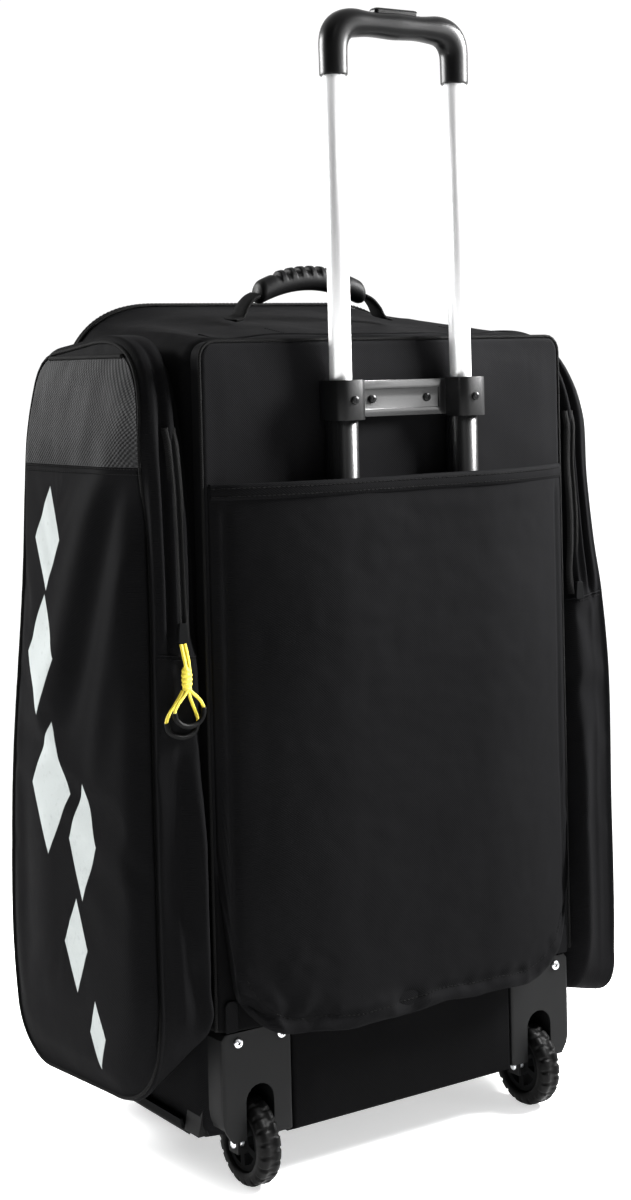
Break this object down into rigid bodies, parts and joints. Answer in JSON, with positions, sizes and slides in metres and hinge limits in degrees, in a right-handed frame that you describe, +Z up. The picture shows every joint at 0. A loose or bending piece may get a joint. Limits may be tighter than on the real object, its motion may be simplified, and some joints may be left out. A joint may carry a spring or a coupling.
{
  "type": "dive gear bag",
  "caption": "Upright soft-sided wheeled dive bag with side pockets, a padded back flap over trolley tubes, a telescopic handle, a grab handle, wheel housings and front feet.",
  "frame": {"origin": "on the floor, under the middle of the overall box", "axes": "+Z up along the standing bag, +Y from the trolley side to the lid side, +X from the left pocket to the right pocket"},
  "size_m": [0.564, 0.3848, 1.089],
  "materials": {
    "cloth": "black coated woven polyester",
    "mesh": "dark grey textured mesh cloth",
    "webbing": "black ribbed tape",
    "moulded_grip": "black moulded, soft gloss",
    "satin_plastic": "dark grey satin moulding",
    "tyre": "black rubber tread",
    "sleeve": "black rubber sleeve",
    "aluminium": "bright satin tube",
    "dark_tube": "black coated tube",
    "steel": "bright screws and axles",
    "yellow_cord": "bright yellow braided cord"
  },
  "bodies": {
    "bag": {"main_body": "cloth", "front_lid": "cloth", "back_panel": "cloth", "back_flap": "cloth", "side_pocket_left": "cloth", "side_pocket_right": "cloth", "mesh_panel_left": "mesh", "mesh_panel_right": "mesh", "lid_zip": "webbing", "flap_binding": "webbing", "pocket_zip_left": "webbing", "pocket_zip_right": "webbing", "grab_webbing_left": "webbing", "grab_webbing_right": "webbing", "strap_end_left": "webbing", "strap_end_right": "webbing", "grab_grip": "moulded_grip", "front_foot_left": "moulded_grip", "front_foot_right": "moulded_grip", "zip_slider_left": "moulded_grip", "zip_slider_right": "moulded_grip", "collar_screw_left": "moulded_grip", "collar_screw_right": "moulded_grip", "base_tray": "satin_plastic", "wheel_housing_left": "satin_plastic", "wheel_housing_right": "satin_plastic", "tube_bracket": "satin_plastic", "pull_upper_sleeve": "sleeve", "pull_lower_sleeve": "sleeve", "outer_tube_left": "dark_tube", "outer_tube_right": "dark_tube", "housing_screw_left_inner": "steel", "housing_screw_left_outer": "steel", "housing_screw_right_inner": "steel", "housing_screw_right_outer": "steel", "bridge_screw_left": "steel", "bridge_screw_right": "steel", "axle_left": "steel", "axle_right": "steel", "pull_stem_left": "yellow_cord", "pull_stem_right": "yellow_cord", "pull_upper_left": "yellow_cord", "pull_upper_right": "yellow_cord", "pull_lower_left": "yellow_cord", "pull_lower_right": "yellow_cord", "pull_knot": "yellow_cord"},
    "trolley_handle": {"handle_tube_left": "aluminium", "handle_tube_right": "aluminium", "trolley_grip": "moulded_grip"},
    "release_button": {"release_button": "moulded_grip"},
    "wheel_left": {"tyre_left": "tyre", "hub_left": "moulded_grip"},
    "wheel_right": {"tyre_right": "tyre", "hub_right": "moulded_grip"}
  },
  "joints": [
    {"name": "handle_slide", "type": "slide", "parent": "bag", "child": "trolley_handle", "axis": [0, 0, 1], "range_m": [-0.278, 0]},
    {"name": "button_press", "type": "slide", "parent": "trolley_handle", "child": "release_button", "axis": [0, 0, -1], "range_m": [0, 0.004], "stiffness_N_per_m": 600},
    {"name": "wheel_left_spin", "type": "hinge", "parent": "bag", "child": "wheel_left", "pos_m": [-0.167, -0.12965, 0.0412], "axis": [1, 0, 0], "continuous": true},
    {"name": "wheel_right_spin", "type": "hinge", "parent": "bag", "child": "wheel_right", "pos_m": [0.167, -0.12965, 0.0412], "axis": [1, 0, 0], "continuous": true}
  ]
}
